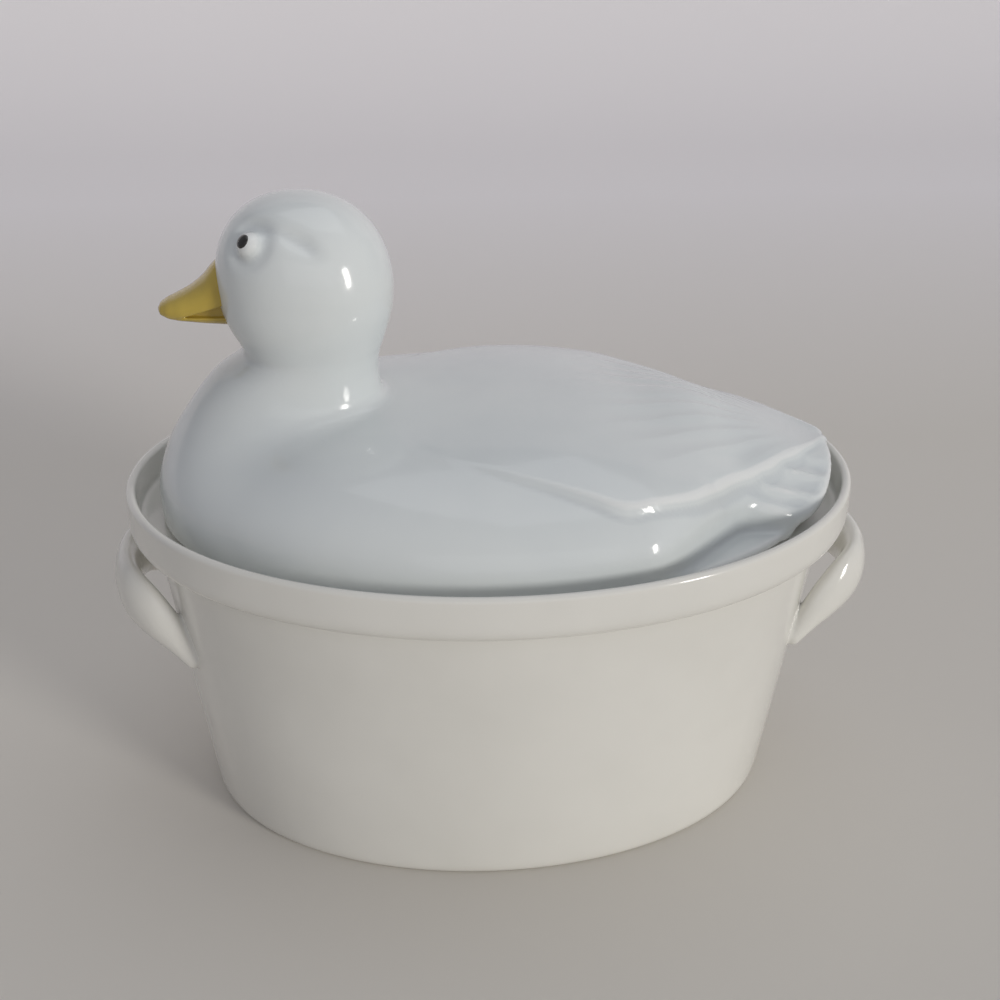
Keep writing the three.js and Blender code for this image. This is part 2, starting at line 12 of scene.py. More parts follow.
import bpy
import numpy as np
from mathutils import Matrix, Vector


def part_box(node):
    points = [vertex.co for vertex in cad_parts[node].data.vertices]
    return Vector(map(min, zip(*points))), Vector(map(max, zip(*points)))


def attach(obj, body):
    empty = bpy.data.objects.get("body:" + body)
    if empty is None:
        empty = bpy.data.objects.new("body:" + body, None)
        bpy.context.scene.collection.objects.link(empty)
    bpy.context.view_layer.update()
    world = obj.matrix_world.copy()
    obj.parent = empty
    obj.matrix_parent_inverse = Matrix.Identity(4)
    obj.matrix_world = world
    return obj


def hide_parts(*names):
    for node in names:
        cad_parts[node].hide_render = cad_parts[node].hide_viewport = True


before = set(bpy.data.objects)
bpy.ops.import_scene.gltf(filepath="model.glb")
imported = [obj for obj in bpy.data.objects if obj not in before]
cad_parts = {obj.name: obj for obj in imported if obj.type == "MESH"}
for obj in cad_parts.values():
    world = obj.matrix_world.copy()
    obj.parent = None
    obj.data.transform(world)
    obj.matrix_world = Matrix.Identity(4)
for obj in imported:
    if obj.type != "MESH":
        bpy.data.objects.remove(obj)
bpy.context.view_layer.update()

MM = 0.001
DISH_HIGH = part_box("dish")[1] / MM
HEAD_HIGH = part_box("head")[1] / MM
GRIP_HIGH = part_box("handle_tail_end")[1] / MM

# The dish, along its long axis; the rim and every oval in it keep the same difference
# between half length and half width
RIM_HALF_LENGTH = DISH_HIGH.x
RIM_HALF_WIDTH = DISH_HIGH.y
DISH_HEIGHT = DISH_HIGH.z
RIM_SPREAD = RIM_HALF_LENGTH - RIM_HALF_WIDTH
COLLAR_HEIGHT = 15.7
COLLAR_PROUD = 8.5
COLLAR_FILLET = 3.5
COLLAR_ROLL = 2.5
COLLAR_ROUND = 8
WALL_TAPER = 16
WALL_THICKNESS = 7.5
FLOOR_THICKNESS = 8
LIP_THICKNESS = 3.5
GALLERY_DEPTH = 12.2
LEDGE_WIDTH = 14.5
FOOT_WIDTH = 7
FOOT_DEPTH = 2.5
FOOT_EDGE_RISE = 0.4
FOOT_EDGE_RUN = 0.6
HEEL_RADIUS = 6
BOWL_CORNER_RADIUS = 16
LEDGE_BEVEL = 1.2
FLAT_HALF_WIDTH = 1
COLLAR_BOTTOM = DISH_HEIGHT - COLLAR_HEIGHT
COLLAR_INNER = RIM_HALF_LENGTH - LIP_THICKNESS
LEDGE_HEIGHT = DISH_HEIGHT - GALLERY_DEPTH
OPENING_HALF_LENGTH = COLLAR_INNER - LEDGE_WIDTH
WALL_TOP = RIM_HALF_LENGTH - COLLAR_PROUD
FOOT_HALF_LENGTH = WALL_TOP - WALL_TAPER
WALL_SLOPE = WALL_TAPER / COLLAR_BOTTOM

# The handles: how far the strap's middle stands off the wall at its outermost, and its height
# there. GRIP gives one half of the strap, from there to the tip of a foot: its place across,
# the share of the stand-off that is left, how far it drops, and its section
GRIP_HALF_LENGTH = GRIP_HIGH.x
GRIPS = {"handle_head_end": (14, 96), "handle_tail_end": (18.1, 93)}
GRIP = {
    "share": (0, 0.25, 0.5, 0.7, 0.85, 1),
    "across": (0, 11, 20.5, 26, 28.5, 30.5),
    "off": (1, 0.98, 0.9, 0.61, 0.34, 0.09),
    "drop": (0, 0.5, 2.5, 7.5, 14, 24),
    "tall": (21, 22, 23, 21, 16, 7.5),
    "thick": (10, 10, 9.5, 9, 8, 5.5),
}
GRIP_STATIONS = 60
GRIP_FILLET = 1.8
GRIP_WEB_SHARE = 0.97
GRIP_SINK = 1.2

# How the lid seats on the dish's ledge
SEAT_GAP = 0.3
SEAT_OVERLAP = 3.5
SEAT_PLATE = 3.2
PLATE_ROUND = 2
FLANGE_CLEARANCE = 1.2
FLANGE_THICKNESS = 4
FLANGE_DEPTH = 6
FLANGE_ROUND = 1.5
MOUTH_ROUND = 1.5
SEAT_HEIGHT = LEDGE_HEIGHT + SEAT_GAP
SEAT_HALF_LENGTH = OPENING_HALF_LENGTH + SEAT_OVERLAP
FLANGE_OUTER = OPENING_HALF_LENGTH - FLANGE_CLEARANCE
FLANGE_INNER = FLANGE_OUTER - FLANGE_THICKNESS

# The duck's body. What is named for a turn changes with the cosine of the direction seen from
# the body's middle: 1 straight behind, 0 at the flanks, -1 at the breast
BODY_BULGE = 1.2
BODY_HALF_LENGTH = SEAT_HALF_LENGTH + BODY_BULGE
BODY_HALF_WIDTH = BODY_HALF_LENGTH - RIM_SPREAD
SHELL_THICKNESS = 5.5
WIDEST_HEIGHT = 8
RUMP_LIFT = 5
RUMP_UNDERCUT = 2
RUMP_NARROWING = 0.28
RUMP_NARROWS_FROM = 0.36
RUMP_NARROWS_TO = 0.76
SEAT_FILLET = 4
SHOULDER_BLUNTNESS = 3.4
FLANK_ROUNDNESS = 2.2
RUMP_BLUNTNESS = 2.4
RUMP_CREST = 2.5
RUMP_TURN = 4
CREST_TURN = 16
RUMP_LIFT_TURN = 0.65
RUMP_UNDERCUT_TURN = (0.25, 0.9)
RUMP_UNDERCUT_POWER = 1.3
PLATE_INSET = 1.0
BREAST_TIP = -BODY_HALF_LENGTH

# Height of the back over the seat, along the body from -1 at the breast to +1 at the rump
SPINE = {
    "along": (-1.0, -0.5, -0.16, 0.0, 0.2, 0.41, 0.62, 0.8, 0.96, 1.08),
    "height": (34, 42.2, 43.7, 44.3, 43.2, 40.3, 38.0, 28.9, 21.5, 19.4),
}

# Breast, neck and head up to the cheeks: height over the seat, front and back behind the
# breast's foremost point, and half width
NECK = {
    "height": (0, 8, 14, 19, 24, 29, 34, 39, 44, 49, 54, 57.5, 61, 64.5, 70, 77, 85),
    "front": (0.7, 0, 0.2, 1, 2.3, 4.4, 7.3, 10.6, 14, 18, 23, 28.5, 32.4, 31.4, 28.6, 26, 25),
    "back": (112, 102, 95, 91, 87.6, 85.2, 83.2, 81.8, 81, 80.4, 80, 80.3, 80.9, 82.2, 84, 85.8, 86.3),
    "side": (58, 57, 53.5, 50, 46, 40.5, 34, 28, 24.3, 22.9, 22.3, 22.2, 22.4, 23.4, 25.4, 27.3, 28.2),
}
CHEEK_HEIGHT = 85
CROWN_HEIGHT = HEAD_HIGH.z - SEAT_HEIGHT
CROWN_SHIFT = -2.1
NECK_FULLNESS = 2.15
CROWN_FULLNESS = 2.2
NECK_FILLET = 4.5
BREAST_FILLET = 4
BREAST_FILLET_AHEAD = (84, 108)

# Wings: half width of the pair along the back, and the step at their lower edge
WINGS = {
    "along": (-0.3, -0.16, -0.03, 0.1, 0.2, 0.3, 0.39, 0.51, 0.66, 0.8, 0.9, 0.97, 1.04),
    "side": (34, 51, 60, 66.5, 70.5, 73.5, 70.5, 63, 46, 33, 22, 14, 4),
    "step": (0, 0.6, 1.3, 1.9, 2.3, 2.6, 2.6, 2.5, 2.5, 2.4, 2.2, 1.8, 1.0),
    "softness": (6, 5, 4.5, 4, 3.6, 3, 2.6, 2.8, 2.8, 2.8, 2.8, 2.8, 2.8),
}
WING_MIDDLE_SHARE = 0.25

# Flutes between the wings' long feathers, which spread from the tail's tip: they deepen and
# fade over these distances from it, and start at these heights over the seat. A cusp power
# under 1 keeps the ridges between them narrow
FLUTE_FIRST_ANGLE = 2
FLUTE_PITCH_ANGLE = 8
FLUTE_COUNT = 5
FLUTE_DEPTH = 0.6
FLUTE_DEEPENS = (22, 48)
FLUTE_FADES = (72, 106)
FLUTE_CUSP = 0.8
FLUTE_FIRST_SOFTNESS = 0.5
FLUTE_LAST_SOFTNESS = 0.1
RELIEF_STARTS = (5, 10)

# The tail: a fan that droops towards its sides, its outline a half oval that ends at the tip,
# thick at the root inside the rump. The slope takes the rump down to it. Its ridges are given by
# how far out they lie at TAIL_RIDGE_FROM, and they splay and pinch further forward
TAIL_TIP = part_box("lid")[1].x / MM
TAIL_REACH = 28
TAIL_HALF_WIDTH = 46
TAIL_DROOP = 18.5
TAIL_DROOP_POWER = 2.5
TAIL_DROOP_LIMIT = 1.15
SLOPE_FROM = 42
SLOPE_TO = 92
SLOPE_LIFT = 60
SLOPE_RAISE = 0.8
SLOPE_FILLET = 4
TAIL_EDGE = 4.5
TAIL_FILLET = 3
TAIL_RIM_ROUND = 3
TAIL_ROOT = 75
TAIL_ROOT_SINK = 3
TAIL_ROOT_SINK_RUN = 22
TAIL_RIDGES = (20, 28.5, 37, 44.5)
TAIL_RIDGE_SPLAY = 11.9
TAIL_RIDGE_PINCH = 0.245
TAIL_RIDGE_FROM = 110
TAIL_RIDGE_RUN = 24
TAIL_RIDGE_LIMIT = 1.5
TAIL_FLUTE_DEPTH = 1.5
TAIL_FLUTE_START = 70
TAIL_FLUTE_RISE = 18
TAIL_FLUTE_BELOW_WING = (0.8, 2.8)
TAIL_FLUTE_FADES = (0.88, 0.985)
TAIL_WEDGE = 26
TAIL_ROOT_DEPTH = 24
TAIL_ROOT_RUN = (8, 32)

# Eyes and brow, as directions in degrees seen from the middle of the head: turned from the bill
# to one side, and lifted. The middle lies behind the breast's tip and over the seat
HEAD_MIDDLE = 55.5
HEAD_MIDDLE_HEIGHT = 86
HEAD_HALF = (30.8, 28.3, 30.7)
EYE_TURN = 46
EYE_LIFT = 35.5
EYE_SEAT = 29.2
EYE_RADIUS = 4.8
EYE_JOIN = 0.6
SOCKET_DEPTH = 1.0
SOCKET_WIDTH = 2.6
PUPIL_TURN = 36
PUPIL_LIFT = 36
PUPIL_HALF_ANGLE = 33
PUPIL_PROUD = 0.4
PUPIL_EDGE = 0.15
PUPIL_BACK = 0.6
BROW = {
    "turn": (24, 48, 70, 90, 103),
    "lift": (46, 49, 47, 41, 32),
    "depth": (0.6, 1.5, 1.2, 2.2, 0.3),
}
BROW_WIDTH = 2.9
BROW_STATIONS = 24

# Bill: behind the breast's foremost point, top and underside over the seat, half width
BILL = {
    "back": (4.2, 4.9, 6.6, 10.5, 15.8, 19.6, 24.4, 32),
    "top": (77.1, 78.4, 79.8, 81.8, 84.7, 87.7, 92.9, 97),
    "under": (77.1, 75.5, 74.2, 73, 72.3, 71.8, 71.3, 70.6),
    "side": (0.3, 3.1, 5.2, 7.2, 8.4, 9.2, 10, 10.4),
}
BILL_FULLNESS = 2.3
BILL_SINK = 1.5
GAPE_CORNER = 13
GAPE_HEIGHT = 75.2
GAPE_LIFT = 0.2
GAPE_RISE = 3.4
GAPE_WIDTH = 3
GAPE_DEPTH = 3.6
GAPE_ROUND = 0.8

# How finely each field is sampled, and the room that its box of samples leaves: round the bill
# as heights over the seat and a half width, round a handle's strap as distances from it
DUCK_STEP = 1.1
BILL_STEP = 0.45
GRIP_STEP = 0.7
BILL_ROOM = {"low": 66, "high": 100, "side": 13}
GRIP_ROOM = {"inward": 12, "outward": 2, "aside": 10, "below": 40, "above": 18}

# Finishes: the colour and the tone that it drifts to, the roughness, and the strength and the
# size in millimetres of the slow waves that a glaze sets in
FINISHES = {
    "dish_glaze": {
        "tones": ((0.80, 0.79, 0.74), (0.755, 0.745, 0.695)),
        "roughness": 0.16, "wave": 0.18, "wave_size": 28,
    },
    "duck_glaze": {
        "tones": ((0.735, 0.77, 0.765), (0.68, 0.72, 0.725)),
        "roughness": 0.15, "wave": 0.18, "wave_size": 28,
    },
    "bill_enamel": {
        "tones": ((0.56, 0.42, 0.075), (0.45, 0.30, 0.045)),
        "roughness": 0.2, "wave": 0.18, "wave_size": 6,
    },
    "pupil_enamel": {
        "tones": ((0.012, 0.011, 0.010), (0.02, 0.018, 0.016)),
        "roughness": 0.1, "wave": 0, "wave_size": 28,
    },
}
GLAZE_IOR = 1.5
COAT_WEIGHT = 0.35
COAT_ROUGHNESS = 0.04
DRIFT_SCALE = 14.0
DRIFT_SPAN = (0.32, 0.62)
WAVE_DISTANCE = 0.002
PEEL_SCALE = 520.0
PEEL_STRENGTH = 0.03
PEEL_DISTANCE = 0.0004

# The duck's glaze is whitened over crests and darkened in creases, by how sharply the surface bends
# per millimetre (from, to, strength): partly glaze that thins and pools, partly a painted highlight
# along ridges and edges and painted shade in creases and hollows
THIN_GLAZE_HIGHLIGHT = (0.14, 0.44, 0.45)
THIN_GLAZE_HIGHLIGHT_TINT = (0.93, 0.93, 0.91)
POOLED_GLAZE_SHADE = (-0.08, -0.42, 0.3)
POOLED_GLAZE_SHADE_TINT = (0.44, 0.48, 0.52)

# The camera, fitted to the photograph: its focal length in pixels of a picture this wide, how
# far it stands in front of the object's middle, above the table and to one side, and its turns
CAMERA_PIXELS = 1423
IMAGE_PIXELS = 1000
CAMERA_AWAY = 0.485
CAMERA_HEIGHT = 0.359
CAMERA_SHIFT = 0.0028
CAMERA_PITCH = math.radians(26.5)
CAMERA_YAW = math.radians(6.32)
CAMERA_ROLL = math.radians(0.55)

# The table, which sweeps up into a wall; its colour turns into the wall's along Y
TABLE_COLOUR = (0.73, 0.70, 0.645)
WALL_COLOUR = (0.90, 0.875, 0.88)
WALL_COLOUR_RUN = (0.3, 0.9, 1)
TABLE_ROUGHNESS = 0.8
TABLE_SHEEN = 0.08
TABLE_HALF = 3.0
TABLE_BACK = 1.1
SWEEP_RADIUS = 0.9
SWEEP_STEPS = 12
WALL_HEIGHT = 1.6

# A window low on the right, towards the camera: its light on the clay comes from far off, and
# its bright pane shows only as a highlight. Soft lamps aim at the middle of the object
WINDOW_FROM = (0.68, -0.73, 0.19)
WINDOW_STRENGTH = 1.3
WINDOW_ANGLE = math.radians(13)
WINDOW_COLOUR = (1.0, 0.97, 0.92)
SOFT_LAMPS = {
    "window_pane": {
        "place": (2.25, -2.0, 0.52), "size": (0.38, 0.98), "watts": 26, "colour": WINDOW_COLOUR,
    },
    "room": {"place": (0.3, -2.5, 0.9), "size": (2.4, 1.5), "watts": 3.5, "colour": (0.97, 0.98, 1.0)},
    "ceiling": {"place": (0.3, 0.2, 1.6), "size": (1.2, 1.2), "watts": 2.5, "colour": (0.93, 0.97, 1.0)},
}
LAMP_AIM = (0, 0, 0.12)
WORLD_COLOUR = (0.93, 0.93, 1.0)
WORLD_STRENGTH = 0.35


# Small tools


def smoothstep(value, low, high):
    """0 below low, 1 above high, and a smooth rise between."""
    share = np.clip((value - low) / (high - low), 0, 1)
    return share * share * (3 - 2 * share)


def smooth_row(places, values, at):
    """A smooth curve through the values at their places, read wherever it is asked for."""
    places = np.asarray(places, float)
    values = np.asarray(values, float)
    slopes = np.gradient(values, places)
    at = np.clip(at, places[0], places[-1])
    k = np.clip(np.searchsorted(places, at) - 1, 0, len(places) - 2)
    width = places[k + 1] - places[k]
    t = (at - places[k]) / width
    start = values[k] * (1 + 2 * t) * (1 - t) ** 2 + slopes[k] * width * t * (1 - t) ** 2
    end = values[k + 1] * (3 - 2 * t) * t ** 2 + slopes[k + 1] * width * (t - 1) * t ** 2
    return start + end


def smooth_union(a, b, radius):
    """Joins two fields with a fillet of about that radius."""
    near = np.maximum(radius - np.abs(a - b), 0) / radius
    return np.minimum(a, b) - near * near * radius / 4


def smooth_cut(a, b, radius):
    """Field a with b taken away, the new edge rounded."""
    return -smooth_union(-a, b, radius)


def as_distance(values, step):
    """Scales a field so that near its surface it reads as a distance."""
    slopes = np.gradient(values, step)
    steepness = np.sqrt(sum(slope * slope for slope in slopes))
    return values / np.maximum(steepness, 1e-3)


def grid_axes(low, high, step):
    """The three axes of a box of samples, shaped to spread over each other."""
    x, y, z = (np.arange(a, b, step) for a, b in zip(low, high))
    return x[:, None, None], y[None, :, None], z[None, None, :]


def sample(field, spots):
    """Trilinear readings of a field at spots given in grid units."""
    base = np.clip(np.floor(spots).astype(int), 0, np.array(field.shape) - 2)
    part = spots - base
    total = np.zeros(len(spots))
    for corner in np.ndindex(2, 2, 2):
        weight = np.prod(np.where(corner, part, 1 - part), axis=1)
        total += weight * field[tuple((base + corner).T)]
    return total


def skin_of(field, low, step):
    """Vertices and quads of the surface where the field is zero."""
    inside = field < 0
    shape = np.array(field.shape) - 1
    count = np.zeros(shape, np.int8)
    for corner in np.ndindex(2, 2, 2):
        part = tuple(slice(c, c + n) for c, n in zip(corner, shape))
        count += inside[part]
    cells = np.argwhere((count > 0) & (count < 8))
    number = np.full(shape, -1, np.int64)
    number[tuple(cells.T)] = np.arange(len(cells))

    total = np.zeros((len(cells), 3))
    crossings = np.zeros(len(cells))
    for corner in np.ndindex(2, 2, 2):
        for axis in range(3):
            if corner[axis]:
                continue
            other = tuple(c + (i == axis) for i, c in enumerate(corner))
            a = field[tuple((cells + corner).T)]
            b = field[tuple((cells + other).T)]
            crossed = (a < 0) != (b < 0)
            share = np.where(crossed, a / np.where(crossed, a - b, 1), 0)
            spot = np.array(corner, float)[None, :].repeat(len(cells), 0)
            spot[:, axis] += share
            total += spot * crossed[:, None]
            crossings += crossed
    spots = cells + total / crossings[:, None]

    for _ in range(2):
        value = sample(field, spots)
        nudges = np.eye(3) * 0.5
        slope = np.stack([sample(field, spots + n) - sample(field, spots - n) for n in nudges], 1)
        move = -slope * (value / np.maximum((slope * slope).sum(1), 1e-6))[:, None]
        spots += np.clip(move, -0.4, 0.4)

    quads = []
    for axis in range(3):
        after = tuple(slice(1, None) if i == axis else slice(None) for i in range(3))
        until = tuple(slice(None, -1) if i == axis else slice(None) for i in range(3))
        change = inside[until].astype(np.int8) - inside[after].astype(np.int8)
        edges = np.argwhere(change != 0)
        sign = change[tuple(edges.T)]
        b, c = (axis + 1) % 3, (axis + 2) % 3
        at_b, at_c = edges[:, b], edges[:, c]
        keep = (at_b > 0) & (at_c > 0) & (at_b < shape[b]) & (at_c < shape[c])
        edges, sign = edges[keep], sign[keep]
        corners = []
        for back_b, back_c in ((1, 1), (0, 1), (0, 0), (1, 0)):
            cell = edges.copy()
            cell[:, b] -= back_b
            cell[:, c] -= back_c
            corners.append(number[tuple(cell.T)])
        quad = np.stack(corners, 1)
        quad[sign < 0] = quad[sign < 0][:, ::-1]
        quads.append(quad)
    return spots * step + np.array(low), np.concatenate(quads)


def crests(field, vertices, low, step, reach=2):
    """How sharply the surface bends at each vertex, per millimetre: above zero on crests."""
    bends = -6 * field
    for axis in range(3):
        bends = bends + np.roll(field, reach, axis) + np.roll(field, -reach, axis)
    return sample(bends, (vertices - np.array(low)) / step) / (reach * step) ** 2


def new_piece(name, vertices, faces, body, replaced, material, crest=None):
    """Makes a smooth mesh from millimetres, riding on a body and standing for the named nodes."""
    mesh = bpy.data.meshes.new(name)
    mesh.from_pydata((np.asarray(vertices) * MM).tolist(), [], [tuple(face) for face in faces])
    if crest is not None:
        mesh.attributes.new("crest", "FLOAT", "POINT").data.foreach_set("value", crest)
    mesh.validate()
    mesh.shade_smooth()
    mesh.materials.append(material)
    piece = bpy.data.objects.new(name, mesh)
    bpy.context.scene.collection.objects.link(piece)
    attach(piece, body)
    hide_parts(*replaced)


def mirrored(field):
    """A field sampled for y above zero, with its mirror image added."""
    return np.concatenate([field[:, ::-1], field], axis=1)


# The duck


def spine_height(x):
    """Height of the middle of the back."""
    along = np.asarray(x) / BODY_HALF_LENGTH
    return SEAT_HEIGHT + smooth_row(SPINE["along"], SPINE["height"], along)


def oval_field(x, y, half_length):
    """Below zero inside an oval that keeps the dish's difference of length and width."""
    return np.hypot(x / half_length, y / (half_length - RIM_SPREAD)) - 1


def body_field(x, y, z):
    """The dome of the body: blunt at the shoulders, round at the flanks, drawn in under the rump."""
    u = x / BODY_HALF_LENGTH
    narrow = 1 - RUMP_NARROWING * smoothstep(u, RUMP_NARROWS_FROM, RUMP_NARROWS_TO)
    reach = np.hypot(u, y / (BODY_HALF_WIDTH * narrow)) + 1e-6
    cosine = u / reach
    rump = (RUMP_BLUNTNESS - FLANK_ROUNDNESS) * np.maximum(cosine, 0) ** RUMP_TURN
    rump = rump + RUMP_CREST * np.maximum(cosine, 0) ** CREST_TURN
    shoulder = (SHOULDER_BLUNTNESS - FLANK_ROUNDNESS) * np.minimum(cosine, 0) ** 2
    power = FLANK_ROUNDNESS + rump + shoulder
    level = SEAT_HEIGHT + WIDEST_HEIGHT + RUMP_LIFT * smoothstep(cosine, 0, RUMP_LIFT_TURN)
    rise = np.maximum((z - level) / (spine_height(x) - level), 0)
    upper = (reach ** power + rise ** power) ** (1 / power) - 1
    plate_top = SEAT_HEIGHT + SEAT_PLATE
    drop = np.clip((level - z) / (level - plate_top), 0, 1)
    undercut = RUMP_UNDERCUT * smoothstep(cosine, *RUMP_UNDERCUT_TURN)
    inset = (undercut * drop ** RUMP_UNDERCUT_POWER + PLATE_INSET * drop * drop) / BODY_HALF_LENGTH
    lower = reach + inset - 1
    return np.where(z > level, upper, lower)


def neck_field(x, y, z):
    """Breast, neck and head, as egg-shaped sections up to the cheeks and a round crown."""
    height = z - SEAT_HEIGHT
    rows = (NECK[key] for key in ("front", "back", "side"))
    front, back, side = (smooth_row(NECK["height"], row, height) for row in rows)
    over = np.clip((height - CHEEK_HEIGHT) / (CROWN_HEIGHT - CHEEK_HEIGHT), 0, None)
    middle = BREAST_TIP + (front + back) / 2 + CROWN_SHIFT * np.minimum(over, 1)
    half = (back - front) / 2
    along = np.abs(x - middle) / half
    across = np.abs(y) / side
    power = NECK_FULLNESS + (CROWN_FULLNESS - NECK_FULLNESS) * smoothstep(over, 0, 0.5)
    return (along ** power + across ** power + over ** power) ** (1 / power) - 1


def tail_height(x, y):
    """Height of the top of the drooping fan."""
    share = np.minimum(np.abs(y) / TAIL_HALF_WIDTH, TAIL_DROOP_LIMIT)
    return spine_height(x) - TAIL_DROOP * share ** TAIL_DROOP_POWER


def slope_height(x, y):
    """The slope that takes the rump down to the tail; well above the back further forward."""
    ahead = np.clip((SLOPE_TO - x) / (SLOPE_TO - SLOPE_FROM), 0, 1)
    return tail_height(x, y) + SLOPE_LIFT * ahead ** 2 + SLOPE_RAISE


def tail_plan(x, y):
    """How far a place lies towards the fan's outline, which is at 1, seen from above."""
    ahead = np.maximum(x - TAIL_TIP + TAIL_REACH, 0) / TAIL_REACH
    return np.hypot(ahead, y / TAIL_HALF_WIDTH)


def tail_field(x, y, z, step):
    """The tail fan: a drooping plate with a round trailing edge, thicker towards the rump."""
    plan = tail_plan(x, y)
    spread = as_distance(plan + 0 * z, step)
    edge = spread - spread / np.maximum(plan, 0.05)
    thickness = TAIL_EDGE + TAIL_WEDGE * np.clip(1 - plan, 0, 1)
    behind_root = x - TAIL_ROOT
    thickness = thickness + TAIL_ROOT_DEPTH * (1 - smoothstep(behind_root, *TAIL_ROOT_RUN))
    sink = TAIL_ROOT_SINK * (1 - smoothstep(behind_root, 0, TAIL_ROOT_SINK_RUN))
    slab = np.abs(z - tail_height(x, y) + sink + thickness / 2) - thickness / 2
    rim = -smooth_union(-edge, -as_distance(slab, step), TAIL_RIM_ROUND)
    return np.maximum(rim, -behind_root)


def head_reach(turn, lift):
    """How far the head's surface lies from its middle in a direction."""
    a, b = np.radians(turn), np.radians(lift)
    outward = np.cos(b) * np.cos(a), np.cos(b) * np.sin(a), np.sin(b)
    return 1 / np.sqrt(sum((part / half) ** 2 for part, half in zip(outward, HEAD_HALF)))


def head_point(turn, lift, distance):
    """A point seen from the head's middle: turned from the bill to one side, and lifted."""
    a, b = math.radians(turn), math.radians(lift)
    return np.array([
        BREAST_TIP + HEAD_MIDDLE - distance * math.cos(b) * math.cos(a),
        distance * math.cos(b) * math.sin(a),
        SEAT_HEIGHT + HEAD_MIDDLE_HEIGHT + distance * math.sin(b),
    ])


def brow_depth(x, y, z):
    """Depth of the groove pressed over each eye."""
    shares = np.linspace(0, 1, BROW_STATIONS)
    places = np.linspace(0, 1, len(BROW["turn"]))
    rows = [smooth_row(places, BROW[key], shares) for key in ("turn", "lift", "depth")]
    depth = np.zeros(np.broadcast_shapes(x.shape, y.shape, z.shape))
    for turn, lift, deep in zip(*rows):
        px, py, pz = head_point(turn, lift, head_reach(turn, lift))
        away = (x - px) ** 2 + (y - py) ** 2 + (z - pz) ** 2
        depth = np.maximum(depth, deep * np.exp(-away / BROW_WIDTH ** 2))
    return depth


def wing_relief(x, y):
    """How far the folded wings stand over the back, with the flutes between their long feathers."""
    along = x / BODY_HALF_LENGTH
    side = smooth_row(WINGS["along"], WINGS["side"], along)
    step = smooth_row(WINGS["along"], WINGS["step"], along)
    step = step * smoothstep(along, WINGS["along"][0], WINGS["along"][1])
    soft = smooth_row(WINGS["along"], WINGS["softness"], along) / 2
    within = smoothstep((side - np.abs(y)) / soft, -1, 1)
    outward = np.clip(np.abs(y) / side, 0, 1)
    lifted = step * within * (WING_MIDDLE_SHARE + (1 - WING_MIDDLE_SHARE) * outward ** 2)

    ahead = TAIL_TIP - x
    turn = np.degrees(np.arctan2(np.abs(y), ahead))
    away = np.hypot(ahead, y)
    number = (turn - FLUTE_FIRST_ANGLE) / FLUTE_PITCH_ANGLE
    scallop = -np.sin(np.pi * (number - np.floor(number))) ** FLUTE_CUSP
    start = smoothstep(number, 0, FLUTE_FIRST_SOFTNESS)
    stop = 1 - smoothstep(number, FLUTE_COUNT, FLUTE_COUNT + FLUTE_LAST_SOFTNESS)
    run = smoothstep(away, *FLUTE_DEEPENS) * (1 - smoothstep(away, *FLUTE_FADES))
    return lifted + FLUTE_DEPTH * scallop * start * stop * run * within


def tail_relief(x, y):
    """The shallow flutes between the tail's feathers, below the wings' edge."""
    forward = np.clip((TAIL_RIDGE_FROM - x) / TAIL_RIDGE_RUN, 0, TAIL_RIDGE_LIMIT)
    outward = (np.abs(y) - TAIL_RIDGE_SPLAY * forward) / (1 - TAIL_RIDGE_PINCH * forward)
    number = np.interp(outward, TAIL_RIDGES, range(len(TAIL_RIDGES)))
    scallop = -np.sin(np.pi * (number - np.floor(number))) ** FLUTE_CUSP
    side = smooth_row(WINGS["along"], WINGS["side"], x / BODY_HALF_LENGTH)
    below = smoothstep(np.abs(y) - side, *TAIL_FLUTE_BELOW_WING)
    run = smoothstep(x, TAIL_FLUTE_START, TAIL_FLUTE_START + TAIL_FLUTE_RISE)
    run = run * (1 - smoothstep(tail_plan(x, y), *TAIL_FLUTE_FADES))
    return TAIL_FLUTE_DEPTH * scallop * below * run


def body_skin(x, y, z, step):
    """The body, neck and tail in one skin, before anything is pressed into it."""
    body = as_distance(body_field(x, y, z), step)
    slope = as_distance(z - slope_height(x, y), step)
    body = smooth_cut(body, -slope, SLOPE_FILLET)
    neck = as_distance(neck_field(x, y, z), step)
    fillet = NECK_FILLET + (BREAST_FILLET - NECK_FILLET) * smoothstep(-x, *BREAST_FILLET_AHEAD)
    skin = smooth_union(body, neck, fillet)
    return smooth_union(skin, tail_field(x, y, z, step), TAIL_FILLET)


def with_eye(skin, x, y, z):
    """The skin with the eye's bead joined to it in a shallow socket."""
    eye = head_point(EYE_TURN, EYE_LIFT, EYE_SEAT)
    bead = np.sqrt((x - eye[0]) ** 2 + (y - eye[1]) ** 2 + (z - eye[2]) ** 2) - EYE_RADIUS
    skin = skin + SOCKET_DEPTH * np.exp(-((bead - SOCKET_WIDTH / 2) / SOCKET_WIDTH) ** 2)
    return smooth_union(skin, bead, EYE_JOIN)


def seat_plate(x, y, z, step):
    """The flat rim that rests on the dish's ledge."""
    plate = as_distance(oval_field(x, y, SEAT_HALF_LENGTH) + 0 * z, step)
    slab = np.abs(z - SEAT_HEIGHT - SEAT_PLATE / 2) - SEAT_PLATE / 2
    return -smooth_union(-plate, -slab, PLATE_ROUND)


def seat_flange(x, y, z, step):
    """The ring under the plate that drops inside the ledge."""
    flange = as_distance(oval_field(x, y, FLANGE_OUTER) + 0 * z, step)
    slab = np.abs(z - SEAT_HEIGHT + FLANGE_DEPTH / 2) - FLANGE_DEPTH / 2 - SEAT_PLATE / 2
    slab = np.maximum(slab, SEAT_HEIGHT - FLANGE_DEPTH - z)
    return -smooth_union(-flange, -slab, FLANGE_ROUND)


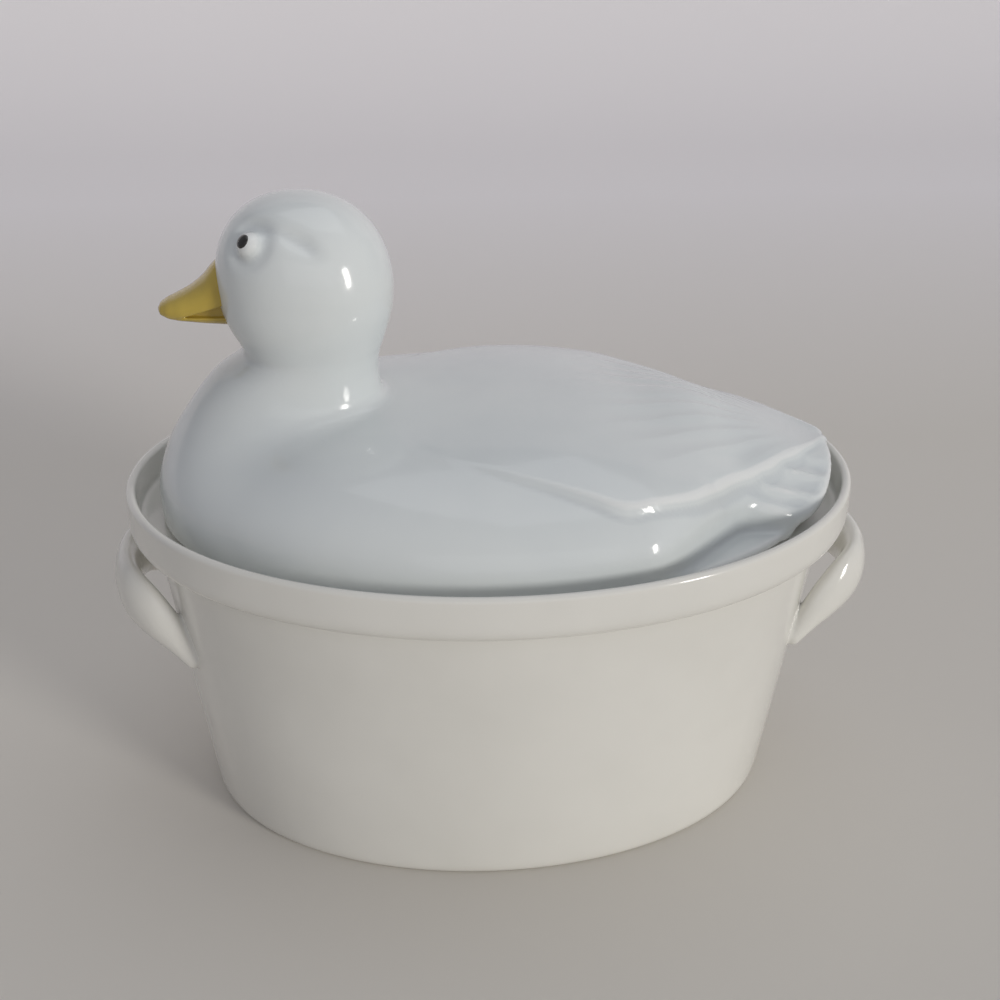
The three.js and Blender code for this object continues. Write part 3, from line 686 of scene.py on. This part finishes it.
def duck_surface(step):
    """The lid with the head, eyes and wings in one skin, hollow and open underneath."""
    low = (BREAST_TIP - 6, step / 2, SEAT_HEIGHT - FLANGE_DEPTH - 3)
    high = (TAIL_TIP + 5, BODY_HALF_WIDTH + 5, HEAD_HIGH.z + 4)
    x, y, z = grid_axes(low, high, step)
    skin = body_skin(x, y, z, step)
    inner = skin + SHELL_THICKNESS
    over = smoothstep(z - SEAT_HEIGHT, *RELIEF_STARTS)
    skin = skin - (wing_relief(x, y) + tail_relief(x, y)) * over
    skin = with_eye(skin + brow_depth(x, y, z), x, y, z)
    skin = np.maximum(skin, SEAT_HEIGHT + SEAT_PLATE / 2 - z)
    solid = smooth_union(skin, seat_plate(x, y, z, step), SEAT_FILLET)
    solid = np.minimum(solid, seat_flange(x, y, z, step))

    mouth = as_distance(oval_field(x, y, FLANGE_INNER) + 0 * z, step)
    solid = smooth_cut(solid, np.maximum(mouth, inner), MOUTH_ROUND)
    whole = mirrored(solid)
    corner = (low[0], step / 2 - solid.shape[1] * step, low[2])
    vertices, faces = skin_of(whole, corner, step)
    return vertices, faces, crests(whole, vertices, corner, step)


# The bill, pupils, handles and dish


def bill_surface(step):
    """The bill, with a wedge-shaped gape pressed into each side."""
    low = (BREAST_TIP + BILL["back"][0] - 2, step / 2, SEAT_HEIGHT + BILL_ROOM["low"])
    high = (BREAST_TIP + BILL["back"][-1] + 1, BILL_ROOM["side"], SEAT_HEIGHT + BILL_ROOM["high"])
    x, y, z = grid_axes(low, high, step)
    back = x - BREAST_TIP
    rows = (BILL[key] for key in ("top", "under", "side"))
    top, under, side = (smooth_row(BILL["back"], row, back) for row in rows)
    middle = SEAT_HEIGHT + (top + under) / 2
    half = np.maximum((top - under) / 2, 0.3)
    across = (np.abs(y) / side) ** BILL_FULLNESS + (np.abs(z - middle) / half) ** BILL_FULLNESS
    bill = as_distance(across ** (1 / BILL_FULLNESS) - 1, step)
    bill = np.maximum(bill, BILL["back"][0] - back)
    share = (back - GAPE_CORNER) / (BILL["back"][-1] - GAPE_CORNER)
    centre = SEAT_HEIGHT + GAPE_HEIGHT + (GAPE_LIFT + GAPE_RISE / 2 + GAPE_WIDTH / 2) * share
    wedge = np.abs(z - centre) - (GAPE_RISE + GAPE_WIDTH) / 2 * share
    wedge = np.maximum(wedge, side - GAPE_DEPTH - y)
    bill = smooth_cut(bill, wedge, GAPE_ROUND)
    head = as_distance(neck_field(x, y, z), step)
    bill = np.maximum(bill, -head - BILL_SINK)
    whole = mirrored(bill)
    return skin_of(whole, (low[0], step / 2 - bill.shape[1] * step, low[2]), step)


def pupil_cap(side, rings=8, around=32):
    """A thin raised spot of enamel that follows the eye's bead."""
    flip = np.array([1, side, 1])
    eye = head_point(EYE_TURN, EYE_LIFT, EYE_SEAT) * flip
    aim = Vector((head_point(PUPIL_TURN, PUPIL_LIFT, 1) - head_point(0, 0, 0)) * flip)
    turn = aim.normalized().to_track_quat("Z", "Y").to_matrix()
    vertices = [np.array(turn @ Vector((0, 0, EYE_RADIUS + PUPIL_PROUD))) + eye]
    for ring in range(1, rings + 1):
        share = ring / rings
        lean = math.radians(PUPIL_HALF_ANGLE) * share
        reach = EYE_RADIUS + PUPIL_PROUD * (1 - share ** 4) - PUPIL_EDGE * (ring == rings)
        for k in range(around):
            angle = 2 * math.pi * k / around
            spot = (math.sin(lean) * math.cos(angle), math.sin(lean) * math.sin(angle), math.cos(lean))
            vertices.append(np.array(turn @ (Vector(spot) * reach)) + eye)
    vertices.append(np.array(turn @ Vector((0, 0, EYE_RADIUS - PUPIL_BACK))) + eye)
    faces = [(0, 1 + k, 1 + (k + 1) % around) for k in range(around)]
    for ring in range(rings - 1):
        first = 1 + ring * around
        for k in range(around):
            follow = (k + 1) % around
            faces.append((first + k, first + around + k, first + around + follow, first + follow))
    last = 1 + (rings - 1) * around
    faces += [(last + (k + 1) % around, last + k, len(vertices) - 1) for k in range(around)]
    return vertices, faces


def wall_field(x, y, z):
    """The dish's tapering outer wall, without its band, below zero inside the clay."""
    half = FOOT_HALF_LENGTH + WALL_SLOPE * z
    return oval_field(x, y, half)


def grip_surface(node, step):
    """A strap bent round the end of the dish, its feet laid on the wall as rounded leaves."""
    end = 1 if node == "handle_tail_end" else -1
    stand_off, height = GRIPS[node]
    low = (FOOT_HALF_LENGTH - GRIP_ROOM["inward"], step / 2, height - GRIP_ROOM["below"])
    aside = GRIP["across"][-1] + GRIP_ROOM["aside"]
    high = (GRIP_HALF_LENGTH + GRIP_ROOM["outward"], aside, height + GRIP_ROOM["above"])
    x, y, z = grid_axes(low, high, step)
    shares = np.linspace(0, 1, GRIP_STATIONS)
    keys = ("across", "off", "drop", "tall", "thick")
    stations = np.transpose([smooth_row(GRIP["share"], GRIP[key], shares) for key in keys])
    bar = np.full(np.broadcast_shapes(x.shape, y.shape, z.shape), 1e3)
    for across, off, drop, tall, thick in stations:
        level = height - drop
        half = FOOT_HALF_LENGTH + WALL_SLOPE * level
        wall_there = half * math.sqrt(1 - (across / (half - RIM_SPREAD)) ** 2)
        away = np.hypot(x - wall_there - stand_off * off, y - across)
        lean = np.hypot(away / (thick / 2), (z - level) / (tall / 2))
        bar = np.minimum(bar, (lean - 1) * thick / 2)
    bar = as_distance(bar, step)
    wall = as_distance(wall_field(x, y, z), step)
    grip = smooth_union(bar, wall, GRIP_FILLET)
    grip = np.maximum(grip, bar - GRIP_FILLET * GRIP_WEB_SHARE)
    grip = np.maximum(grip, -wall - GRIP_SINK)
    whole = mirrored(grip)
    vertices, faces = skin_of(whole, (low[0], step / 2 - grip.shape[1] * step, low[2]), step)
    if end < 0:
        vertices = vertices * (-1, 1, 1)
        faces = faces[:, ::-1]
    return vertices, faces


def bend(start, corner, end, steps=8):
    """Points of a rounded corner, without its first."""
    shares = [(i + 1) / steps for i in range(steps)]
    return [
        tuple((1 - t) ** 2 * a + 2 * t * (1 - t) * b + t * t * c for a, b, c in zip(start, corner, end))
        for t in shares
    ]


def straight(start, end, steps):
    """Points of a straight stretch, without its first."""
    return [tuple(a + (b - a) * (i + 1) / steps for a, b in zip(start, end)) for i in range(steps)]


def dish_profile():
    """The dish's section from under the middle, round the outside and in to the floor."""
    foot = FOOT_HALF_LENGTH
    foot_inner = foot - HEEL_RADIUS / 2 - FOOT_WIDTH
    fillet = COLLAR_FILLET
    lip = LIP_THICKNESS / 2
    inner_foot = foot - WALL_THICKNESS + WALL_SLOPE * FLOOR_THICKNESS
    under = COLLAR_BOTTOM - COLLAR_ROLL
    wall_end = (WALL_TOP - WALL_SLOPE * (fillet + COLLAR_ROLL), under - fillet)
    shelf = (WALL_TOP + fillet, under + fillet / 4)
    band = (RIM_HALF_LENGTH, under + COLLAR_ROUND)
    flat = RIM_SPREAD + FLAT_HALF_WIDTH
    bevel = LEDGE_BEVEL
    corner = BOWL_CORNER_RADIUS
    points = [(flat, FOOT_DEPTH)]
    points += straight(points[-1], (foot_inner - FOOT_DEPTH, FOOT_DEPTH), 6)
    points += bend(points[-1], (foot_inner - 1, FOOT_DEPTH), (foot_inner, FOOT_EDGE_RISE))
    points += bend(points[-1], (foot_inner + 0.1, 0), (foot_inner + FOOT_EDGE_RUN, 0), 3)
    points += straight(points[-1], (foot - HEEL_RADIUS / 2, 0), 3)
    points += bend(points[-1], (foot, 0), (foot + WALL_SLOPE * HEEL_RADIUS, HEEL_RADIUS))
    points += straight(points[-1], wall_end, 24)
    points += bend(points[-1], (WALL_TOP, under), shelf)
    points += bend(points[-1], (RIM_HALF_LENGTH, under + fillet / 3), band)
    points += straight(points[-1], (RIM_HALF_LENGTH, DISH_HEIGHT - lip), 5)
    for i in range(1, 13):
        angle = math.pi * i / 12
        reach, height = lip * math.cos(angle), lip * math.sin(angle)
        points.append((RIM_HALF_LENGTH - lip + reach, DISH_HEIGHT - lip + height))
    points += straight(points[-1], (COLLAR_INNER, LEDGE_HEIGHT + fillet), 3)
    points += bend(points[-1], (COLLAR_INNER, LEDGE_HEIGHT), (COLLAR_INNER - fillet, LEDGE_HEIGHT))
    edge = (OPENING_HALF_LENGTH, LEDGE_HEIGHT)
    points += straight(points[-1], (edge[0] + bevel, edge[1]), 4)
    points += bend(points[-1], edge, (edge[0], edge[1] - bevel), 4)
    points += straight(points[-1], (inner_foot + WALL_SLOPE * corner, FLOOR_THICKNESS + corner), 20)
    points += bend(points[-1], (inner_foot, FLOOR_THICKNESS), (inner_foot - corner, FLOOR_THICKNESS))
    points += straight(points[-1], (flat, FLOOR_THICKNESS), 6)
    return points


def dish_surface(around=224):
    """The profile carried round the oval, closed by a flat of quads at the floor and below it."""
    profile = dish_profile()
    angles = 2 * np.pi * np.arange(around) / around
    rings = [
        np.stack([r * np.cos(angles), (r - RIM_SPREAD) * np.sin(angles), np.full(around, z)], 1)
        for r, z in profile
    ]
    vertices = np.concatenate(rings)
    faces = []
    for ring in range(len(profile) - 1):
        first = ring * around
        for k in range(around):
            follow = (k + 1) % around
            faces.append((first + k, first + follow, first + around + follow, first + around + k))
    top = (len(profile) - 1) * around
    half = around // 2
    for k in range(half - 1):
        faces.append((k, (around - k) % around, around - k - 1, k + 1))
        faces.append((top + k, top + k + 1, top + around - k - 1, top + (around - k) % around))
    return vertices, faces


# Finishes


def node(tree, kind, **inputs):
    """A shader node with the given socket values."""
    made = tree.nodes.new(kind)
    for key, value in inputs.items():
        made.inputs[key.replace("_", " ")].default_value = value
    return made


def blend(tree, value, span, colour, tint):
    """Mixes a tint into a colour as a value crosses a span of (from, to, strength)."""
    ramp = node(tree, "ShaderNodeMapRange", From_Min=span[0], From_Max=span[1], To_Max=span[2])
    tree.links.new(value, ramp.inputs["Value"])
    mixed = node(tree, "ShaderNodeMixRGB", Color2=(*tint, 1))
    tree.links.new(ramp.outputs["Result"], mixed.inputs["Fac"])
    tree.links.new(colour, mixed.inputs["Color1"])
    return mixed.outputs["Color"]


def glaze(name):
    """A glazed finish: colour drifting between two tones, a faint orange peel and slow waves.

    On a mesh that carries its crests it also whitens over them, partly thin glaze and partly a painted
    highlight, and darkens in the creases, partly pooled glaze and partly painted shade.
    """
    finish = FINISHES[name]
    material = bpy.data.materials.new(name)
    material.use_nodes = True
    tree = material.node_tree
    link = tree.links.new
    shader = tree.nodes["Principled BSDF"]
    shader.inputs["Roughness"].default_value = finish["roughness"]
    shader.inputs["IOR"].default_value = GLAZE_IOR
    shader.inputs["Coat Weight"].default_value = COAT_WEIGHT
    shader.inputs["Coat Roughness"].default_value = COAT_ROUGHNESS
    place = tree.nodes.new("ShaderNodeTexCoord")
    drift = node(tree, "ShaderNodeTexNoise", Scale=DRIFT_SCALE, Detail=3.0, Roughness=0.55)
    link(place.outputs["Object"], drift.inputs["Vector"])
    ramp = tree.nodes.new("ShaderNodeValToRGB")
    for stop, position, tone in zip(ramp.color_ramp.elements, DRIFT_SPAN, reversed(finish["tones"])):
        stop.position = position
        stop.color = (*tone, 1)
    link(drift.outputs["Fac"], ramp.inputs["Fac"])
    crest = tree.nodes.new("ShaderNodeAttribute")
    crest.attribute_name = "crest"
    # Whitened over crests: partly thinner glaze, partly a painted highlight
    glaze_and_highlight = blend(tree, crest.outputs["Fac"], THIN_GLAZE_HIGHLIGHT, ramp.outputs["Color"], THIN_GLAZE_HIGHLIGHT_TINT)
    # Darkened in creases: partly pooled glaze, partly painted shade
    glaze_and_shade = blend(tree, crest.outputs["Fac"], POOLED_GLAZE_SHADE, glaze_and_highlight, POOLED_GLAZE_SHADE_TINT)
    link(glaze_and_shade, shader.inputs["Base Color"])
    waves_per_metre = 1 / (finish["wave_size"] * MM)
    slow = node(tree, "ShaderNodeTexNoise", Scale=waves_per_metre, Detail=1.5, Roughness=0.4)
    peel = node(tree, "ShaderNodeTexNoise", Scale=PEEL_SCALE, Detail=1.0)
    link(place.outputs["Object"], slow.inputs["Vector"])
    link(place.outputs["Object"], peel.inputs["Vector"])
    waves = node(tree, "ShaderNodeBump", Strength=finish["wave"], Distance=WAVE_DISTANCE)
    link(slow.outputs["Fac"], waves.inputs["Height"])
    fine = node(tree, "ShaderNodeBump", Strength=PEEL_STRENGTH, Distance=PEEL_DISTANCE)
    link(peel.outputs["Fac"], fine.inputs["Height"])
    link(waves.outputs["Normal"], fine.inputs["Normal"])
    link(fine.outputs["Normal"], shader.inputs["Normal"])
    return material


# Making the pieces


def make_dish(glazed):
    """The dish without its handles."""
    vertices, faces = dish_surface()
    new_piece("casserole_dish", vertices, faces, "dish", ["dish"], glazed)


def make_grips(glazed):
    """The loop handle at each end of the dish."""
    for name in GRIPS:
        vertices, faces = grip_surface(name, GRIP_STEP)
        new_piece("loop_" + name, vertices, faces, "dish", [name], glazed)


def make_duck():
    """The duck, with its head and eye beads."""
    glazed = glaze("duck_glaze")
    vertices, faces, crest = duck_surface(DUCK_STEP)
    stands_for = ["lid", "head", "eye_left", "eye_right"]
    new_piece("duck_lid", vertices, faces, "lid", stands_for, glazed, crest)


def make_bill():
    """The painted bill."""
    painted = glaze("bill_enamel")
    vertices, faces = bill_surface(BILL_STEP)
    new_piece("duck_bill", vertices, faces, "lid", ["bill"], painted)


def make_pupils():
    """The black spot on each eye's bead."""
    painted = glaze("pupil_enamel")
    for name, side in (("pupil_left", -1), ("pupil_right", 1)):
        vertices, faces = pupil_cap(side)
        new_piece("duck_" + name, vertices, faces, "lid", [name], painted)


# Camera, stage and lamps


def make_camera():
    """The camera at the photograph's viewing angle."""
    data = bpy.data.cameras.new("camera")
    data.sensor_width = 36
    data.lens = CAMERA_PIXELS / IMAGE_PIXELS * data.sensor_width
    data.clip_start = 0.01
    camera = bpy.data.objects.new("camera", data)
    bpy.context.scene.collection.objects.link(camera)
    turn = Matrix.Rotation(-CAMERA_YAW, 4, "Z")
    place = Matrix.Translation((CAMERA_SHIFT, -CAMERA_AWAY, CAMERA_HEIGHT))
    look = Matrix.Rotation(math.pi / 2 - CAMERA_PITCH, 4, "X")
    camera.matrix_world = turn @ place @ look @ Matrix.Rotation(CAMERA_ROLL, 4, "Z")
    bpy.context.scene.camera = camera


def make_stage():
    """A pale table that sweeps up into a wall far behind."""
    line = [(-TABLE_HALF, 0.0), (TABLE_BACK, 0.0)]
    for i in range(1, SWEEP_STEPS + 1):
        angle = math.pi / 2 * i / SWEEP_STEPS
        rise = SWEEP_RADIUS * (1 - math.cos(angle))
        line.append((TABLE_BACK + math.sin(angle) * SWEEP_RADIUS, rise))
    line.append((line[-1][0], SWEEP_RADIUS + WALL_HEIGHT))
    vertices = [(x, y, z) for y, z in line for x in (-TABLE_HALF, TABLE_HALF)]
    faces = [(2 * i, 2 * i + 1, 2 * i + 3, 2 * i + 2) for i in range(len(line) - 1)]
    mesh = bpy.data.meshes.new("floor")
    mesh.from_pydata(vertices, [], faces)
    mesh.shade_smooth()
    mesh.materials.append(floor_paint())
    floor = bpy.data.objects.new("floor", mesh)
    bpy.context.scene.collection.objects.link(floor)


def floor_paint():
    """A dull paint in the table's colour that turns into the wall's further back."""
    material = bpy.data.materials.new("floor_paint")
    material.use_nodes = True
    tree = material.node_tree
    shader = tree.nodes["Principled BSDF"]
    shader.inputs["Roughness"].default_value = TABLE_ROUGHNESS
    shader.inputs["Specular IOR Level"].default_value = TABLE_SHEEN
    place = tree.nodes.new("ShaderNodeTexCoord")
    parts = tree.nodes.new("ShaderNodeSeparateXYZ")
    tree.links.new(place.outputs["Object"], parts.inputs["Vector"])
    table = tree.nodes.new("ShaderNodeRGB").outputs["Color"]
    table.default_value = (*TABLE_COLOUR, 1)
    tone = blend(tree, parts.outputs["Y"], WALL_COLOUR_RUN, table, WALL_COLOUR)
    tree.links.new(tone, shader.inputs["Base Color"])
    return material


def soft_light(name, place, size, watts, colour):
    """A rectangular soft light aimed at the middle of the object."""
    data = bpy.data.lights.new(name, "AREA")
    data.shape = "RECTANGLE"
    data.size, data.size_y = size
    data.energy = watts
    data.color = colour
    lamp = bpy.data.objects.new(name, data)
    lamp.location = place
    aim = Vector(LAMP_AIM) - Vector(place)
    lamp.rotation_euler = aim.to_track_quat("-Z", "Y").to_euler()
    bpy.context.scene.collection.objects.link(lamp)
    return lamp


def make_world():
    """Faint light from all round."""
    world = bpy.data.worlds.new("studio")
    world.use_nodes = True
    sky = world.node_tree.nodes["Background"]
    sky.inputs["Color"].default_value = (*WORLD_COLOUR, 1)
    sky.inputs["Strength"].default_value = WORLD_STRENGTH
    bpy.context.scene.world = world


def make_window():
    """The window's light on the clay, without a highlight of its own."""
    window = bpy.data.lights.new("window", "SUN")
    window.energy = WINDOW_STRENGTH
    window.angle = WINDOW_ANGLE
    window.color = WINDOW_COLOUR
    lamp = bpy.data.objects.new("window", window)
    lamp.rotation_euler = Vector(WINDOW_FROM).to_track_quat("Z", "Y").to_euler()
    lamp.visible_glossy = False
    bpy.context.scene.collection.objects.link(lamp)


def make_soft_lamps():
    """The window's pane, seen only in highlights, and the fill of the room."""
    lamps = {name: soft_light(name, **values) for name, values in SOFT_LAMPS.items()}
    lamps["window_pane"].visible_diffuse = False


make_camera()
make_stage()
make_world()
make_window()
make_soft_lamps()
dish_glaze = glaze("dish_glaze")
make_dish(dish_glaze)
make_grips(dish_glaze)
make_duck()
make_bill()
make_pupils()
bpy.context.scene.view_settings.view_transform = "Standard"
